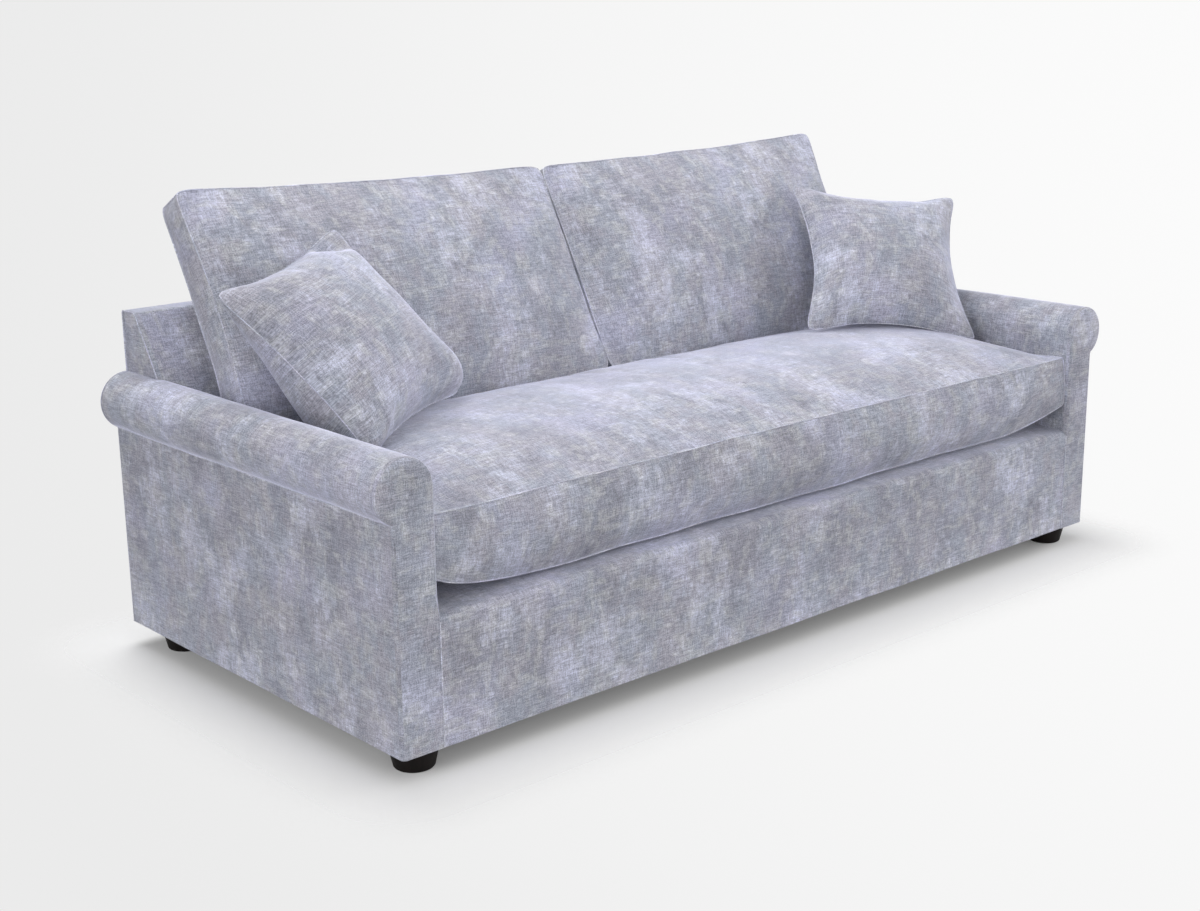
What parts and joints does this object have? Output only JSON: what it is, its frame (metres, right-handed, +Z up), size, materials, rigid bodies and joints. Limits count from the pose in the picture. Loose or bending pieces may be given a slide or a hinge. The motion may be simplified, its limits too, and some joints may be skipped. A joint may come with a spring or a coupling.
{
  "type": "three-seater sofa",
  "caption": "Upholstered three-seater sofa with rolled arms, a bench seat cushion, loose back cushions, scatter cushions and short turned feet.",
  "frame": {"origin": "middle of the floor under the sofa, at the centre of its bounding box", "axes": "+X to the right of someone who looks at the front, +Y to the back, +Z up; the front faces -Y"},
  "size_m": [2.168, 1, 0.9693],
  "materials": {
    "upholstery": "slubby washed velvet, cool lavender grey with paler clouding",
    "dark_wood": "black-stained, satin",
    "timber": "sawn hardwood",
    "hardboard": "bent hardboard",
    "wadding": "polyester wadding",
    "foam": "cut foam",
    "webbing": "elastic webbing",
    "felt": "felt under a plain platform cloth",
    "dust_cloth": "black non-woven cloth",
    "steel": "bright drawn wire and zinc-plated fittings"
  },
  "bodies": {
    "frame": {"front_rail": "timber", "spring_rail": "timber", "rear_rail": "timber", "stretchers": "timber", "foot_blocks": "timber", "foot_bolts": "steel", "tee_nuts": "steel", "side_rail_left": "timber", "arm_front_board_left": "timber", "arm_rear_board_left": "timber", "arm_top_rail_left": "timber", "arm_lining_left": "hardboard", "arm_wadding_left": "wadding", "arm_cover_left": "upholstery", "arm_facing_left": "upholstery", "arm_outside_panel_left": "upholstery", "back_post_left": "timber", "back_end_board_left": "timber", "back_end_facing_left": "upholstery", "foot_front_left": "dark_wood", "foot_rear_left": "dark_wood", "side_rail_right": "timber", "arm_front_board_right": "timber", "arm_rear_board_right": "timber", "arm_top_rail_right": "timber", "arm_lining_right": "hardboard", "arm_wadding_right": "wadding", "arm_cover_right": "upholstery", "arm_facing_right": "upholstery", "arm_outside_panel_right": "upholstery", "back_post_right": "timber", "back_end_board_right": "timber", "back_end_facing_right": "upholstery", "foot_front_right": "dark_wood", "foot_rear_right": "dark_wood", "back_post_middle": "timber", "back_top_rail": "timber", "back_foot_rail": "timber", "back_webbing": "webbing", "back_wadding": "wadding", "back_cover": "upholstery", "outside_back_panel": "upholstery", "seat_springs": "steel", "spring_clips": "steel", "tie_wires": "steel", "deck": "felt", "front_wadding": "wadding", "front_cover": "upholstery", "dust_cover": "dust_cloth"},
    "seat_cushion": {"seat_cushion_cover": "upholstery", "seat_cushion_core": "foam"},
    "back_cushion_left": {"back_cushion_cover_left": "upholstery", "back_cushion_pad_left": "wadding"},
    "back_cushion_right": {"back_cushion_cover_right": "upholstery", "back_cushion_pad_right": "wadding"},
    "scatter_cushion_left": {"scatter_cushion_cover_left": "upholstery", "scatter_cushion_pad_left": "wadding"},
    "scatter_cushion_right": {"scatter_cushion_cover_right": "upholstery", "scatter_cushion_pad_right": "wadding"}
  },
  "joints": [
    {"name": "seat_cushion_lift", "type": "slide", "parent": "frame", "child": "seat_cushion", "axis": [0, 0, 1], "range_m": [0, 0.45]},
    {"name": "back_cushion_left_lift", "type": "slide", "parent": "seat_cushion", "child": "back_cushion_left", "axis": [0, 0, 1], "range_m": [0, 0.3]},
    {"name": "back_cushion_right_lift", "type": "slide", "parent": "seat_cushion", "child": "back_cushion_right", "axis": [0, 0, 1], "range_m": [0, 0.3]},
    {"name": "scatter_cushion_left_lift", "type": "slide", "parent": "back_cushion_left", "child": "scatter_cushion_left", "axis": [0, 0, 1], "range_m": [0, 0.4]},
    {"name": "scatter_cushion_right_lift", "type": "slide", "parent": "back_cushion_right", "child": "scatter_cushion_right", "axis": [0, 0, 1], "range_m": [0, 0.4]}
  ]
}
